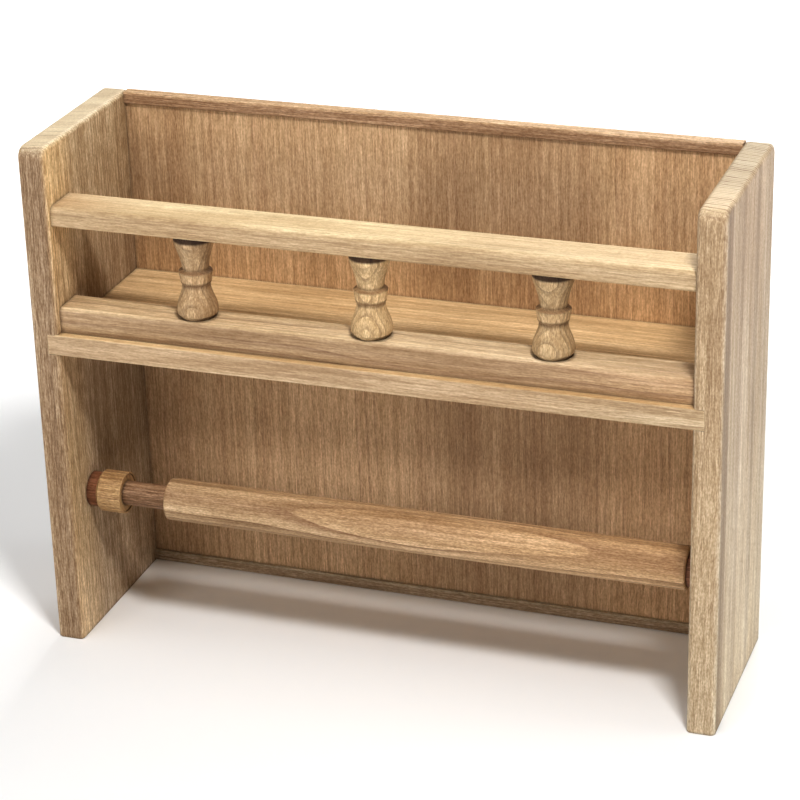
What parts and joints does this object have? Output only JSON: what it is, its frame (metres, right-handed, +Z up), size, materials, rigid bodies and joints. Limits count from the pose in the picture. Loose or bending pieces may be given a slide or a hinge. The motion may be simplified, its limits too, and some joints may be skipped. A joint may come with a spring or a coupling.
{
  "type": "paper towel rack",
  "caption": "Wall rack of solid wood: a shelf with a turned gallery rail above, and a spring-loaded telescopic roller for a paper roll below.",
  "frame": {"origin": "on the underside, below the middle of the rack", "axes": "+X along the roller to the right as seen from the front, -Y out of the open front, +Y into the wall, +Z up"},
  "size_m": [0.346, 0.102, 0.266],
  "materials": {
    "teak_side": "oiled, vertical grain",
    "teak_back_veneer": "oiled veneered plywood, vertical grain",
    "teak_rail": "oiled, grain along the rack",
    "teak_back_rail": "oiled, darker heartwood, grain along the rack",
    "teak_turned": "turned and oiled, vertical grain",
    "teak_roller": "turned and oiled, grain along the roller",
    "dark_hardwood": "turned, reddish brown, oiled",
    "beech_pin": "plain, unfinished",
    "spring_steel": "bright drawn wire",
    "fastener_steel": "stainless, satin"
  },
  "bodies": {
    "rack": {"side_panel_left": "teak_side", "side_panel_right": "teak_side", "shelf": "teak_rail", "back_panel": "teak_back_veneer", "back_top_rail": "teak_back_rail", "back_bottom_rail": "teak_back_rail", "back_panel_pins": "fastener_steel", "gallery_base_rail": "teak_rail", "gallery_top_rail": "teak_rail", "gallery_dowel_pins": "beech_pin", "gallery_screws": "fastener_steel", "spindle_left": "teak_turned", "spindle_centre": "teak_turned", "spindle_right": "teak_turned"},
    "roller": {"roller_dowel": "teak_roller", "roller_nose": "dark_hardwood", "roller_spring": "spring_steel"},
    "plunger": {"plunger_head": "teak_roller", "plunger_shaft": "dark_hardwood", "plunger_nose": "dark_hardwood"}
  },
  "joints": [
    {"name": "roller_spin", "type": "hinge", "parent": "rack", "child": "roller", "pos_m": [0, -0.0255, 0.075], "axis": [1, 0, 0], "continuous": true},
    {"name": "plunger_slide", "type": "slide", "parent": "roller", "child": "plunger", "axis": [1, 0, 0], "range_m": [0, 0.02], "stiffness_N_per_m": 630, "springref_m": -0.008, "deforming": ["roller_spring"]}
  ]
}
